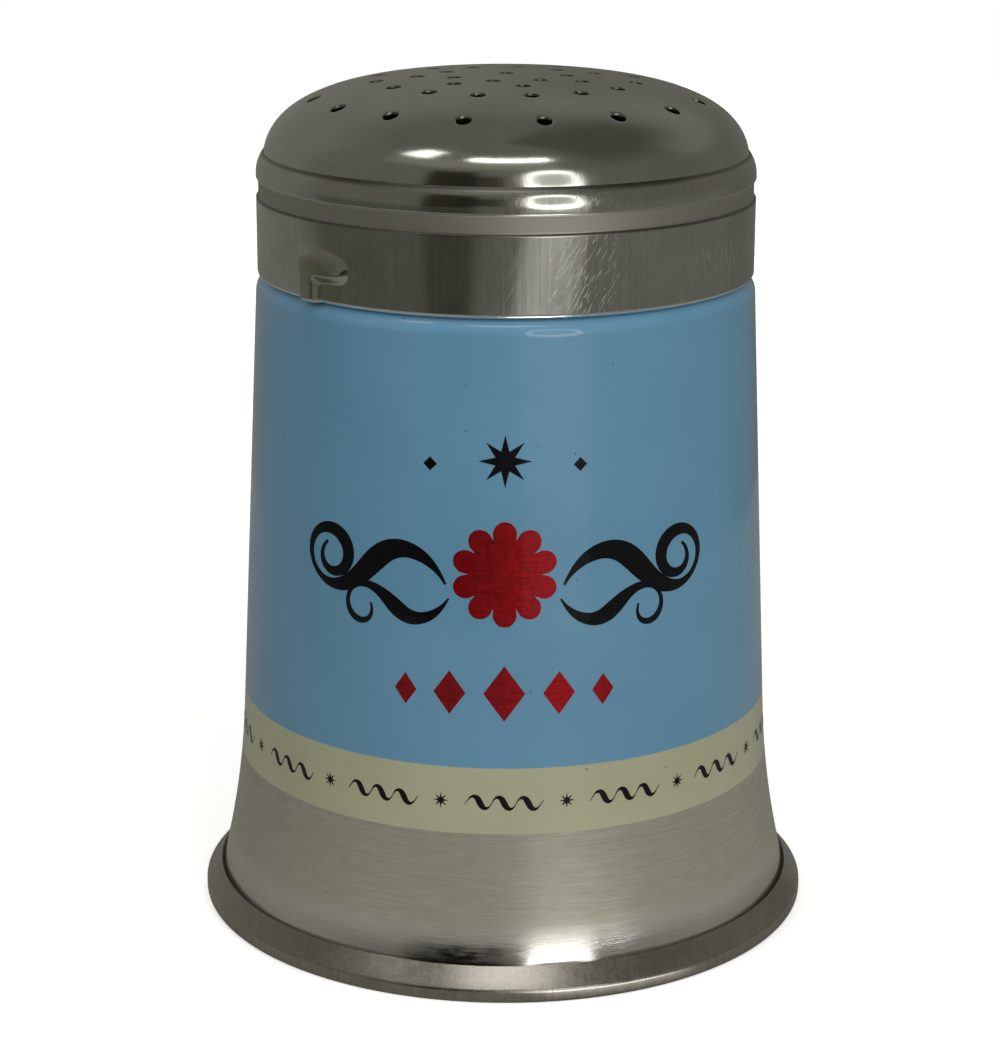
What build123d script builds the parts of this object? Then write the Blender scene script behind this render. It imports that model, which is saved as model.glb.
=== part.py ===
from build123d import *
import math
import os

# Sugar shaker: a printed tin can with a flared foot, a hemmed base, and a perforated lid
# that locks by a short turn. Millimetres, +Z up, origin at the centre of the foot's underside.
# The front is -Y. Angles round the axis are counted from the front, positive towards +X.

# Sheet thicknesses
wall_sheet = 0.35
pan_sheet = 0.35
ring_sheet = 0.35
dome_sheet = 0.35

# Clearances
seam_gap = 0.08  # between the layers of a folded or crimped seam
lid_seat_gap = 0.25  # between the lid's lip and the can's shoulder
pip_gap = 0.35  # between a pip's tip and the floor of its channel

# Foot: the base pan's rim rolled round the wall's flared edge
foot_ring_r = 42.5  # widest
foot_ring_height = 4.3
foot_ring_slope = 2.15  # how far its top edge lies inside its widest
foot_hem_height = 1.7  # of its upright face, up to the sloped one
foot_bend_r = 0.9  # between the two faces
foot_inner_bend_r = 0.45  # the same bend on the hem's inner side, wider than the sheet
foot_flat_depth = 0.05  # how far the roll's underside is pressed flat
pan_recess = 2.6  # underside of the bottom disc above the table
pan_bend_r = 0.7
panel_r = 31.0  # raised middle of the bottom disc
panel_rise = 0.6
panel_bend_r = 1.2

# Wall, sizes of its outer surface
waist_z = 27.0  # the straight taper starts here, above the flare
waist_r = 36.64
shoulder_z = 86.3  # the straight taper ends here
shoulder_r = 33.85
shoulder_round_r = 2.5
neck_root_r = 0.6
neck_inset = 1.4  # of the neck inside the shoulder
neck_height = 10.9  # from the taper's end to the mouth
mouth_roll_r = 0.7

# Side seam of the rolled wall, at the back
seam_width = 4.0
seam_rise = 0.2
seam_azimuth = 180.0
seam_foot_margin = 0.6  # from the foot ring's top edge to the seam's end

# Lid ring, sizes of its outer surface
lip_roll_r = 0.6
lip_flat = 0.15
skirt_inset = 0.25  # of the skirt's face inside the shoulder
skirt_height = 10.4  # from the lip to the groove
groove_height = 2.8
groove_depth = 0.3
groove_flank = 0.5  # height of each sloped side of the groove
band_height = 3.2  # from the groove to the dome
band_upright_height = 0.4  # of the band, below its bend over the rim of the dome

# Bayonet: channels pressed outwards in the skirt, pips pressed outwards on the neck
channel_count = 2
channel_azimuth = -48.25  # middle of the entry leg
channel_emboss = 0.9
channel_length = 8.6
channel_shelf = 3.1  # above the lip
channel_flat = 5.2  # length of the level top
channel_nose_drop = 1.7  # of the slope from the top to the nose
channel_nose_height = 0.9  # of the nose's upright end
channel_nose_rise = 0.9  # of the slope from the shelf to the nose
channel_nose_run = 1.1
channel_corner_r = 1.2
channel_nose_r = 0.8
channel_inner_r = 0.45
fillet_share = 0.98  # of an edge, the most that the fillets at its ends may take
flank_angle = 20.0
pip_r = 1.3
pip_side_gap = 0.4  # on each side of a pip in the entry leg
pip_top_gap = 0.5  # above a pip when the lid is pushed home

# Dome, sizes of its outer surface
dome_inset = 1.0  # of its foot inside the skirt's face
dome_height = 10.2  # from the ring's top edge to the crown
dome_tuck = 1.0  # from the ring's top edge down to where the dome is upright
dome_curve_insets = [20.6, 12.6, 6.6, 2.6, 0.6]  # points of its curve, inside the foot
dome_curve_drops = [0.25, 1.22, 3.0, 5.5, 8.3]  # the same points, below the crown
rim_gap = 0.15  # between the edge of the dome's rim and the ring
rim_bend_r = 0.3

# Shaker holes: one in the middle, and rings of them
hole_diameter = 2.05
hole_insets = [6.8, 15.1, 20.6, 24.4]  # of each ring inside the dome's foot
hole_counts = [16, 16, 8, 8]
hole_phases = [10.5, 10.5, 10.5, 33.0]  # azimuth of the first hole of each ring

# Sizes that follow from those above
foot_ring_top_r = foot_ring_r - foot_ring_slope
neck_r = shoulder_r - neck_inset
mouth_z = shoulder_z + neck_height
skirt_r = shoulder_r - skirt_inset
dome_foot_r = skirt_r - dome_inset
band_round_height = band_height - band_upright_height
channel_nose_top = channel_shelf + channel_nose_rise + channel_nose_height
channel_top = channel_nose_top + channel_nose_drop
leg_width = 2 * pip_r + 2 * pip_side_gap
pip_height = channel_top - pip_top_gap - pip_r

os.makedirs("parts", exist_ok=True)


# Directions and places round the axis


def radial_plane(azimuth):
    """Upright plane through the axis that faces outwards at an azimuth."""
    a = math.radians(azimuth)
    return Plane(
        origin=(0, 0, 0),
        x_dir=(math.cos(a), math.sin(a), 0),
        z_dir=(math.sin(a), -math.cos(a), 0),
    )


def at_azimuth(azimuth, radius, z=0.0):
    """Location at a radius and height, with local Z pointing outwards."""
    return radial_plane(azimuth).location * Pos(0, z, radius)


def spun(section):
    """Solid of revolution of a section drawn as (radius, height)."""
    return revolve(Plane.XZ * section, axis=Axis.Z)


def sheet_section(path, thickness, side):
    """Section of a sheet: the path of one surface, thickened to one side."""
    return make_face(offset(path, amount=thickness, side=side, closed=True))


def section_to_axis(path):
    """Section between the axis and a path that starts low and ends high."""
    low = path @ 0
    high = path @ 1
    closing = Polyline((low.X, low.Y), (0, low.Y), (0, high.Y), (high.X, high.Y))
    return make_face(path.edges() + closing.edges())


# Heights that follow from the sizes above


def slope_of_taper():
    return (waist_r - shoulder_r) / (shoulder_z - waist_z)


def shoulder_turn():
    """Angle turned by the shoulder's round, and back again by the neck's root."""
    inset = shoulder_r - neck_r
    return math.degrees(math.acos(1 - inset / (shoulder_round_r + neck_root_r)))


def lip_centre_r():
    return skirt_r - lip_roll_r


def lip_z():
    """The lip's underside, one seat gap above the shoulder's round."""
    reach = shoulder_round_r + lid_seat_gap + lip_roll_r
    across = lip_centre_r() - (shoulder_r - shoulder_round_r)
    return shoulder_z + math.sqrt(reach**2 - across**2) - lip_roll_r


def groove_z():
    return lip_z() + skirt_height


def band_z():
    return groove_z() + groove_height


def crease_z():
    return band_z() + band_height


# The can's wall


def wall_surface():
    """Outer surface of the wall, from the flared edge up to the rolled mouth."""
    cone = ring_cone()
    depth = pan_sheet + seam_gap
    tip = (foot_ring_r - depth, roll_centre_z() + seam_gap)
    edge = cone["top"] + cone["inwards"] * depth
    down_taper = (slope_of_taper(), -1)
    flange = FilletPolyline(tip, hem_corner(depth), edge, radius=[foot_bend_r - pan_sheet])
    flare = TangentArc((waist_r, waist_z), edge, tangent=down_taper)
    taper = Line((waist_r, waist_z), (shoulder_r, shoulder_z))
    rounded = JernArc(taper @ 1, (0, 1), shoulder_round_r, shoulder_turn())
    root = JernArc(rounded @ 1, rounded % 1, neck_root_r, -shoulder_turn())
    neck = Line(root @ 1, (neck_r, mouth_z - mouth_roll_r))
    roll = JernArc(neck @ 1, (0, 1), mouth_roll_r, 180)
    return Wire(flange.edges() + [flare, taper, rounded, root, neck, roll])


def pip_centres():
    centre_r = skirt_r - ring_sheet + channel_emboss - pip_gap - pip_r
    turn = 360 / channel_count
    return [
        at_azimuth(channel_azimuth + turn * i, centre_r, lip_z() + pip_height)
        for i in range(channel_count)
    ]


def side_seam(surface):
    """Raised strip where the rolled sheet is folded together."""
    low = foot_ring_height + seam_foot_margin
    spread = math.degrees(seam_width / waist_r)
    section = Plane.XZ * sheet_section(surface, seam_rise, Side.RIGHT)
    sector = revolve(section, axis=Axis.Z, revolution_arc=spread)
    strip = Rot(0, 0, seam_azimuth - 90 - spread / 2) * sector
    width = 4 * foot_ring_r
    kept = Pos(0, 0, (low + shoulder_z) / 2) * Box(width, width, shoulder_z - low)
    return strip & kept


def make_body_wall():
    surface = wall_surface()
    wall = spun(sheet_section(surface, wall_sheet, Side.LEFT))
    inside = Cylinder(neck_r - wall_sheet, 2 * mouth_z)
    for place in pip_centres():
        ball = place * Sphere(pip_r)
        hollow = place * Sphere(pip_r - wall_sheet)
        wall = (wall - hollow) + (ball - hollow - inside)
    return wall + side_seam(surface)


# The base pan


def ring_cone():
    """Sloped outer face of the foot ring, with the directions down it and into the seam."""
    top = Vector(foot_ring_top_r, foot_ring_height)
    bottom = Vector(foot_ring_r, foot_hem_height)
    down = (bottom - top).normalized()
    inwards = Vector(down.Y, -down.X)
    return {"top": top, "bottom": bottom, "down": down, "inwards": inwards}


def roll_radius():
    """Outer radius of the roll that holds the wall's flared edge."""
    return (2 * pan_sheet + wall_sheet + 2 * seam_gap) / 2


def roll_centre_z():
    return roll_radius() - foot_flat_depth


def hem_corner(depth):
    """Corner of a layer that lies at a depth inside both outer faces of the ring."""
    cone = ring_cone()
    below = cone["bottom"] + cone["inwards"] * depth
    back = (below.X - foot_ring_r + depth) / cone["down"].X
    return below - cone["down"] * back


def make_base_pan():
    cone = ring_cone()
    hem_foot = (foot_ring_r, roll_centre_z())
    face = FilletPolyline(cone["top"], cone["bottom"], hem_foot, radius=[foot_bend_r])
    roll = JernArc(face @ 1, (0, -1), roll_radius(), -180)
    inner_corner = hem_corner(2 * roll_radius())
    rise = (pan_recess - inner_corner.Y) / cone["down"].Y
    inner = FilletPolyline(
        roll @ 1,
        inner_corner,
        inner_corner + cone["down"] * rise,
        (panel_r + panel_rise, pan_recess),
        (panel_r, pan_recess + panel_rise),
        (0, pan_recess + panel_rise),
        radius=[foot_inner_bend_r, pan_bend_r, panel_bend_r, panel_bend_r],
    )
    path = Wire(face.edges() + [roll] + inner.edges())
    pan = spun(sheet_section(path, pan_sheet, Side.RIGHT))
    width = 4 * foot_ring_r
    return pan - Pos(0, 0, -width / 2) * Box(width, width, width)


# The lid's ring


def ring_surface():
    """Outer surface of the ring, from its lip up to the dome."""
    lip = lip_z()
    low = groove_z()
    high = band_z()
    top = crease_z()
    groove_r = skirt_r - groove_depth
    flat = Line((lip_centre_r() - lip_flat, lip), (lip_centre_r(), lip))
    curl = JernArc(flat @ 1, (1, 0), lip_roll_r, 90)
    side = Polyline(
        curl @ 1,
        (skirt_r, low),
        (groove_r, low + groove_flank),
        (groove_r, high - groove_flank),
        (skirt_r, high),
        (skirt_r, top - band_round_height),
    )
    round_over = TangentArc(side @ 1, (dome_foot_r + seam_gap, top), tangent=(0, 1))
    return Wire([flat, curl] + side.edges() + [round_over])


def nose_radius():
    """Rounding of the channel's nose, within the height of its upright end."""
    upper = math.atan2(channel_length - channel_flat, channel_nose_drop)
    lower = math.atan2(channel_nose_run, channel_nose_rise)
    reach = math.tan(upper / 2) + math.tan(lower / 2)
    return min(channel_nose_r, fillet_share * channel_nose_height / reach)


def channel_outline(grow):
    """L-shaped channel seen from outside: the entry leg on the left, the run to the right."""
    left = -channel_length / 2
    right = channel_length / 2
    lip = lip_z()
    below = lip - 2 * lip_roll_r
    shelf = lip + channel_shelf
    nose_r = nose_radius()
    edge = FilletPolyline(
        (left, below),
        (left, lip + channel_top),
        (left + channel_flat, lip + channel_top),
        (right, lip + channel_nose_top),
        (right, shelf + channel_nose_rise),
        (right - channel_nose_run, shelf),
        (left + leg_width, shelf),
        (left + leg_width, below),
        radius=[channel_corner_r, channel_corner_r, nose_r, nose_r, nose_r, channel_inner_r],
    )
    closing = Line(edge @ 1, edge @ 0)
    outline = make_face(edge.edges() + closing.edges())
    return offset(outline, amount=grow, kind=Kind.INTERSECTION).face()


def channel_form(azimuth, grow):
    """Block with sloped sides that stands through the skirt at a channel."""
    half_angle = channel_length / 2 / skirt_r
    start = skirt_r * math.cos(half_angle) - ring_sheet
    end = skirt_r + channel_emboss + seam_gap
    middle = azimuth + math.degrees((channel_length - leg_width) / 2 / skirt_r)
    lean = math.tan(math.radians(flank_angle))
    low = at_azimuth(middle, start) * channel_outline(grow + (skirt_r - start) * lean)
    high = at_azimuth(middle, end) * channel_outline(grow - (end - skirt_r) * lean)
    return loft([low, high], ruled=True)


def make_lid_ring():
    surface = ring_surface()
    inner = offset(surface, amount=ring_sheet, side=Side.LEFT, closed=False)
    inner = Wire(inner.edges())
    if (inner @ 0).Y > (inner @ 1).Y:
        inner = Wire([e.reversed() for e in reversed(inner.edges())])
    outer_section = section_to_axis(surface)
    inner_section = section_to_axis(inner)
    shift = Pos(channel_emboss, 0)
    outside = spun(outer_section)
    inside = spun(inner_section)
    outside_far = spun(shift * outer_section)
    inside_far = spun(shift * inner_section)
    lip_hole = Pos(0, 0, lip_z()) * Cylinder(lip_centre_r() - lip_flat, 4 * lip_roll_r)
    dome_hole = Pos(0, 0, crease_z()) * Cylinder(dome_foot_r + seam_gap, 2 * band_round_height)
    for i in range(channel_count):
        azimuth = channel_azimuth + 360 / channel_count * i
        outside += channel_form(azimuth, 0) & outside_far
        inside += channel_form(azimuth, -ring_sheet / 2) & inside_far
    return outside - inside - lip_hole - dome_hole


# The lid's dome


def dome_outline():
    """Outer curve of the dome, level at the crown and upright at its foot."""
    crown = crease_z() + dome_height
    places = zip(dome_curve_insets, dome_curve_drops)
    points = [(dome_foot_r - inset, crown - drop) for inset, drop in places]
    foot = (dome_foot_r, crease_z() - dome_tuck)
    return Spline((0, crown), *points, foot, tangents=[(1, 0), (0, -1)])


def parallel_curve(curve, distance, steps=10):
    """Curve beside another, on its right, from points taken square to it."""
    points = []
    for i in range(steps + 1):
        along = curve % (i / steps)
        points.append((curve @ (i / steps)) + Vector(along.Y, -along.X) * distance)
    return Spline(points, tangents=[curve % 0, curve % 1])


def dome_section():
    """Section of the dome's sheet, with the rim flange that the ring traps."""
    low_z = band_z() + seam_gap
    rim_z = low_z + dome_sheet
    inner_r = dome_foot_r - dome_sheet
    flange_r = skirt_r - ring_sheet - rim_gap
    outer = dome_outline()
    inner = parallel_curve(outer, dome_sheet)
    outer_rim = FilletPolyline(
        outer @ 1, (dome_foot_r, rim_z), (flange_r, rim_z), radius=[rim_bend_r]
    )
    inner_rim = FilletPolyline(
        inner @ 1, (inner_r, low_z), (flange_r, low_z), radius=[rim_bend_r + dome_sheet]
    )
    edge = Line(outer_rim @ 1, inner_rim @ 1)
    middle = Line(outer @ 0, inner @ 0)
    rims = outer_rim.edges() + inner_rim.edges()
    return make_face([outer.edge(), inner.edge(), edge.edge(), middle.edge()] + rims)


def shaker_holes():
    """Round punches through the crown: one in the middle and the rings about it."""
    punch = Pos(0, 0, crease_z() + dome_height) * Cylinder(hole_diameter / 2, 2 * dome_height)
    punches = [punch]
    for inset, count, first in zip(hole_insets, hole_counts, hole_phases):
        radius = dome_foot_r - inset
        for i in range(count):
            angle = math.radians(first + 360 / count * i)
            punches.append(Pos(radius * math.sin(angle), -radius * math.cos(angle)) * punch)
    return punches


def make_lid_dome():
    return spun(dome_section()) - shaker_holes()


for name, make in (
    ("body_wall", make_body_wall),
    ("base_pan", make_base_pan),
    ("lid_ring", make_lid_ring),
    ("lid_dome", make_lid_dome),
):
    export_step(make(), f"parts/{name}.step")
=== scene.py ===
import math

import bmesh
import bpy
import numpy as np
from mathutils import Matrix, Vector
from mathutils.geometry import delaunay_2d_cdt


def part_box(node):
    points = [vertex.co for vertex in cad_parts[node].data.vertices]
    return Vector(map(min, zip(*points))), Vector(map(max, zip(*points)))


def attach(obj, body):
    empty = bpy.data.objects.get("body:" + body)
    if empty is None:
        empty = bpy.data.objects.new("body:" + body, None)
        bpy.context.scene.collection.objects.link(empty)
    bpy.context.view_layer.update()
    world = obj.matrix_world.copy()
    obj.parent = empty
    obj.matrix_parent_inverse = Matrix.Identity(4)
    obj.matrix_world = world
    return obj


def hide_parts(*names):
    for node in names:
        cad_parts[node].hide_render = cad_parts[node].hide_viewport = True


# A tin sugar shaker with a printed wall, a rolled foot and a perforated lid.
# Shapes are worked out in millimetres, round the can's axis, and go into the meshes in metres.
# Angles round the axis count from the front (-Y), positive towards +X.

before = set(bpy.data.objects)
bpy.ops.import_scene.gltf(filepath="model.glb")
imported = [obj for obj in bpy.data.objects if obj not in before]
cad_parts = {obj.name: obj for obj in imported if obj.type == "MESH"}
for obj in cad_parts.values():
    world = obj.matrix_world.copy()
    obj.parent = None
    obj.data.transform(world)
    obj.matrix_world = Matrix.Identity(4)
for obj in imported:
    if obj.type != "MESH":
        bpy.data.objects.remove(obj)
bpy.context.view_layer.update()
mm = 0.001
# in millimetres, closer than this counts as touching
hair = 1e-6
print("frame loaded:", ", ".join(sorted(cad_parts)))


def nodeSpan(node):
    # Lowest and highest corner of a CAD node, in millimetres.
    low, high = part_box(node)
    return np.array(low) / mm, np.array(high) / mm


# Profiles, as points (radius, height)


def straight(start, end, steps):
    # Points at even shares of the way from one end to the other.
    share = np.linspace(0, 1, steps + 1)[:, None]
    return np.array(start, float) * (1 - share) + np.array(end, float) * share


def turning(start, heading, radius, turn, steps):
    # Arc whose heading turns evenly by some degrees, to the left if positive: the arm from
    # the centre to the start is turned through each share of the angle.
    start = np.array(start, float)
    heading = np.array(heading, float) / np.linalg.norm(heading)
    arm = math.copysign(radius, turn) * np.array([heading[1], -heading[0]])
    angle = np.radians(turn) * np.linspace(0, 1, steps + 1)[:, None]
    turned = np.cos(angle) * arm + np.sin(angle) * np.array([-arm[1], arm[0]])
    return start - arm + turned


def leaving(start, heading, end, steps):
    # Arc that leaves the start along the heading and meets the end: it turns by twice the
    # angle between heading and chord, on a radius of the chord squared over twice its part across.
    heading = np.array(heading, float) / np.linalg.norm(heading)
    chord = np.array(end, float) - np.array(start, float)
    across = chord @ np.array([-heading[1], heading[0]])
    radius = abs(chord @ chord / (2 * across))
    turn = math.degrees(2 * math.atan2(across, chord @ heading))
    return turning(start, heading, radius, turn, steps)


def joined(*parts):
    # Stretches of a profile end to end, without the points that they share.
    path = np.concatenate(parts)
    gap = np.linalg.norm(np.diff(path, axis=0), axis=1)
    return path[np.r_[True, gap > hair]]


def cornered(points, radii, steps):
    # Straight runs whose inner corners are arcs: each starts radius * tan(turn / 2) before its
    # corner.
    points = np.array(points, float)
    parts = [points[:1]]
    for before, corner, after, radius in zip(points[:-2], points[1:-1], points[2:], radii):
        along = (corner - before) / np.linalg.norm(corner - before)
        onwards = (after - corner) / np.linalg.norm(after - corner)
        turn = math.atan2(along[0] * onwards[1] - along[1] * onwards[0], along @ onwards)
        first = corner - along * radius * abs(math.tan(turn / 2))
        parts.append(turning(first, along, radius, math.degrees(turn), steps))
    return joined(*parts, points[-1:])


def refined(path, step):
    # The same profile with points at most a step apart, at even shares of each run.
    gaps = np.linalg.norm(np.diff(path, axis=0), axis=1)
    counts = np.maximum(1, np.ceil(gaps / step).astype(int))
    run = np.repeat(np.arange(len(gaps)), counts)
    share = (np.arange(counts.sum()) - np.repeat(np.cumsum(counts) - counts, counts)) / counts[run]
    inner = path[run] + (path[run + 1] - path[run]) * share[:, None]
    return np.concatenate([inner, path[-1:]])


def beside(path, distance):
    # The profile moved to its left by a distance, square to the mean heading of the runs that
    # meet at each point.
    run = np.diff(path, axis=0)
    run /= np.linalg.norm(run, axis=1)[:, None]
    heading = np.concatenate([run[:1], run[:-1] + run[1:], run[-1:]])
    heading /= np.linalg.norm(heading, axis=1)[:, None]
    return path + distance * np.stack([-heading[:, 1], heading[:, 0]], 1)


def cubic(t, start, end, leave, meet):
    # Cubic from start to end with given slopes there: (2t³ - 3t² + 1) start + (t³ - 2t² + t)
    # leave + (3t² - 2t³) end + (t³ - t²) meet.
    return (
        (2 * t**3 - 3 * t**2 + 1) * start + (t**3 - 2 * t**2 + t) * leave
        + (3 * t**2 - 2 * t**3) * end + (t**3 - t**2) * meet
    )


def smoothCurve(points, startHeading, endHeading, steps):
    # Cubic curve through the points with no jump in bend: its slopes solve the three-term
    # system over the chord lengths, and each span is the cubic with those end slopes.
    points = np.array(points, float)
    h = np.linalg.norm(np.diff(points, axis=0), axis=1)
    count = len(points)
    system = np.zeros((count, count))
    wanted = np.zeros((count, 2))
    system[0, 0] = system[-1, -1] = 1
    wanted[0], wanted[-1] = startHeading, endHeading
    inner = np.arange(1, count - 1)
    system[inner, inner - 1] = 1 / h[:-1]
    system[inner, inner] = 2 / h[:-1] + 2 / h[1:]
    system[inner, inner + 1] = 1 / h[1:]
    rise = np.diff(points, axis=0) / h[:, None] ** 2
    wanted[1:-1] = 3 * (rise[:-1] + rise[1:])
    slope = np.linalg.solve(system, wanted)
    t = np.linspace(0, 1, steps, endpoint=False)[None, :, None]
    leave, meet = (slope[:-1] * h[:, None])[:, None], (slope[1:] * h[:, None])[:, None]
    curve = cubic(t, points[:-1, None], points[1:, None], leave, meet)
    return np.concatenate([curve.reshape(-1, 2), points[-1:]])


def eased(value):
    # 0 below 0, 1 above 1, and 3v² - 2v³ between.
    v = np.clip(value, 0, 1)
    return v * v * (3 - 2 * v)


# Meshes

meshing = {"mergeWithin": 1e-7, "degenerateUnder": 1e-8, "sharpAngle": 38}


def fineAngles(step, zones=()):
    # Angles all the way round at an even step, with closer ones in each zone, which is given by
    # its middle, half width and step.
    even = np.arange(-180, 180, step)
    close = [np.arange(middle - half, middle + half, fine) for middle, half, fine in zones]
    every = np.concatenate([even, *close])
    every = (np.round(every, 4) + 180) % 360 - 180
    return np.radians(np.unique(every))


def spokes(angle):
    # Unit arms in plan at angles round the axis: (sin angle, -cos angle).
    return np.stack([np.sin(angle), -np.cos(angle)], -1)


def roundAxis(radius, height, angle):
    # A point at an angle round the axis: x = radius sin angle, y = -radius cos angle.
    return np.stack([radius * np.sin(angle), -radius * np.cos(angle), height + 0 * angle], -1)


def placed(name, data):
    # A new object at the origin of the scene.
    made = bpy.data.objects.new(name, data)
    bpy.context.scene.collection.objects.link(made)
    return made


def finishedMesh(name, points, faces, materials, slots=None):
    # Mesh in metres with doubles merged and every face turned outwards.
    mesh = bpy.data.meshes.new(name)
    mesh.from_pydata((points * mm).tolist(), [], faces)
    for material in materials:
        mesh.materials.append(material)
    if slots is not None:
        mesh.polygons.foreach_set("material_index", slots)
    work = bmesh.new()
    work.from_mesh(mesh)
    bmesh.ops.remove_doubles(work, verts=work.verts, dist=meshing["mergeWithin"])
    bmesh.ops.dissolve_degenerate(work, edges=work.edges, dist=meshing["degenerateUnder"])
    bmesh.ops.recalc_face_normals(work, faces=work.faces)
    work.to_mesh(mesh)
    work.free()
    mesh.shade_smooth()
    mesh.set_sharp_from_angle(angle=math.radians(meshing["sharpAngle"]))
    print(f"{name}: {len(mesh.polygons)} faces")
    return placed(name, mesh)


def quads(index):
    # Four-sided faces of a grid of point numbers.
    corners = [index[:-1, :-1], index[1:, :-1], index[1:, 1:], index[:-1, 1:]]
    return np.stack(corners, -1).reshape(-1, 4)


def gridFaces(rows, columns, wrapRows=True, wrapColumns=True, first=0):
    # Faces of points numbered row by row, closed round where the grid wraps.
    index = first + np.arange(rows * columns).reshape(rows, columns)
    if wrapRows:
        index = np.concatenate([index, index[:1]])
    if wrapColumns:
        index = np.concatenate([index, index[:, :1]], 1)
    return quads(index)


def spunSheet(name, outer, inner, angles, materials, lift=None):
    # Sheet metal carried round the axis: its section runs up one surface and back along the
    # other. Lift adds to the radius, from the angle, the height and which surface it is.
    loop = np.concatenate([outer, inner[::-1]])
    isOuter = np.arange(len(loop)) < len(outer)
    angle, radius = np.meshgrid(angles, loop[:, 0], indexing="ij")
    height = np.broadcast_to(loop[:, 1], angle.shape)
    if lift:
        radius = radius + lift(angle, height, isOuter[None, :])
    points = roundAxis(radius, height, angle).reshape(-1, 3)
    faces = gridFaces(len(angles), len(loop))
    slots = np.tile(np.where(isOuter, 0, len(materials) - 1), len(angles)).astype(np.int32)
    return finishedMesh(name, points, faces.tolist(), materials, slots)


# Materials


class Wire:
    # Wraps a socket of a node tree, so that sums of sockets are written as Python expressions.
    def __init__(self, tree, socket=None):
        self.tree = tree
        self.socket = socket

    def node(self, kind, settings=(), values=(), output=0):
        # A node of any type: its settings are set first, then its sockets get values or links.
        made = self.tree.nodes.new("ShaderNode" + kind)
        for name, value in dict(settings).items():
            setattr(made, name, value)
        for name, value in dict(values).items():
            if isinstance(value, Wire):
                self.tree.links.new(value.socket, made.inputs[name])
            else:
                made.inputs[name].default_value = value
        return Wire(self.tree, made.outputs[output] if len(made.outputs) else None)

    def maths(self, operation, *terms):
        # One sum or function of sockets and numbers.
        return self.node("Math", {"operation": operation}, enumerate(terms))

    def __add__(self, other):
        return self.maths("ADD", self, other)

    def __sub__(self, other):
        return self.maths("SUBTRACT", self, other)

    def __rsub__(self, other):
        return self.maths("SUBTRACT", other, self)

    def __mul__(self, other):
        return self.maths("MULTIPLY", self, other)

    def __truediv__(self, other):
        return self.maths("DIVIDE", self, other)

    __radd__ = __add__
    __rmul__ = __mul__

    def rises(self, low, high):
        # 0 below low, 1 above high, eased between.
        values = {"Value": self, "From Min": low, "From Max": high}
        return self.node("MapRange", {"interpolation_type": "SMOOTHSTEP"}, values)

    def between(self, low, high, soft):
        # 1 from low to high, with soft edges.
        return self.rises(low - soft, low + soft) * (1 - self.rises(high - soft, high + soft))

    def blend(self, factor, first, second, mode="MIX"):
        # Colour mix.
        settings = {"data_type": "RGBA", "blend_type": mode}
        return self.node("Mix", settings, {0: factor, 6: first, 7: second}, 2)

    def stretched(self, scales):
        # A vector with its parts multiplied.
        settings = {"operation": "MULTIPLY"}
        return self.node("VectorMath", settings, {0: self, 1: scales})

    def noise(self, scale=1.0, detail=2.0, roughness=0.5):
        # Layered noise from 0 to 1 at a vector.
        values = {"Vector": self, "Scale": scale, "Detail": detail, "Roughness": roughness}
        return self.node("TexNoise", {}, values)

    def field(self, name):
        # One of the named noise fields below.
        stretch, detail, roughness = fields[name]
        return self.stretched(stretch).noise(1, detail, roughness)

    def wound(self, pitch):
        # A vector turned round the axis by so many radians for each unit of its height.
        height = self.node("SeparateXYZ", {}, {0: self}, "Z")
        turn = self.node("CombineXYZ", {}, {"Z": height * pitch})
        return self.node("Mapping", {}, {"Vector": self, "Rotation": turn})


def newMaterial(name):
    # An empty material, and the wires of its surface point in millimetres and that point's parts.
    material = bpy.data.materials.new(name)
    material.use_nodes = True
    material.node_tree.nodes.clear()
    root = Wire(material.node_tree)
    point = root.node("TexCoord", {}, {}, "Object").stretched((1 / mm,) * 3)
    parts = [root.node("SeparateXYZ", {}, {0: point}, axis) for axis in "XYZ"]
    return material, root, point, parts


def bumped(root, height, depth, normal=None):
    # Normal of a surface raised by height times depth, in millimetres.
    values = {"Height": height, "Distance": depth * mm, "Strength": 1.0}
    if normal is not None:
        values["Normal"] = normal
    return root.node("Bump", {}, values)


def surfaced(root, values):
    # Ends a material in one Principled shader.
    shader = root.node("BsdfPrincipled", {}, values)
    root.node("OutputMaterial", {}, {"Surface": shader})


def grey(level, warmth=0.0):
    # Neutral colour, warmer as its red gains on its blue.
    return (level * (1 + warmth), level, level * (1 - 1.6 * warmth), 1)


# Noise fields: how fast they vary along x, y and z, per millimetre, and their detail and roughness
fields = {
    "brushed": ((0.16, 0.16, 8.0), 3, 0.6),
    "brushedFine": ((0.5, 0.5, 17.0), 2, 0.6),
    "patches": ((0.35, 0.35, 1.1), 3, 0.6),
    "insideMarks": ((0.3, 0.3, 5.0), 2, 0.5),
    "footMarks": ((0.2, 0.2, 9.0), 3, 0.6),
    "footScuff": ((1.2, 1.2, 0.25), 3, 0.6),
    "drawn": ((2.6, 2.6, 0.08), 3, 0.6),
    "scratch": ((6.5, 6.5, 0.45), 2, 0.6),
    "ringScuff": ((1.6, 1.6, 0.6), 3, 0.7),
    "ringCloud": ((0.12, 0.12, 0.2), 3, 0.6),
    "stain": ((0.3, 0.3, 0.12), 2, 0.5),
    "spun": ((0.25, 0.25, 6.0), 2, 0.5),
    "rub": ((0.35, 6.0, 0.35), 3, 0.7),
    "inkLines": ((0.2, 0.2, 7.0), 2, 0.5),
}
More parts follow.
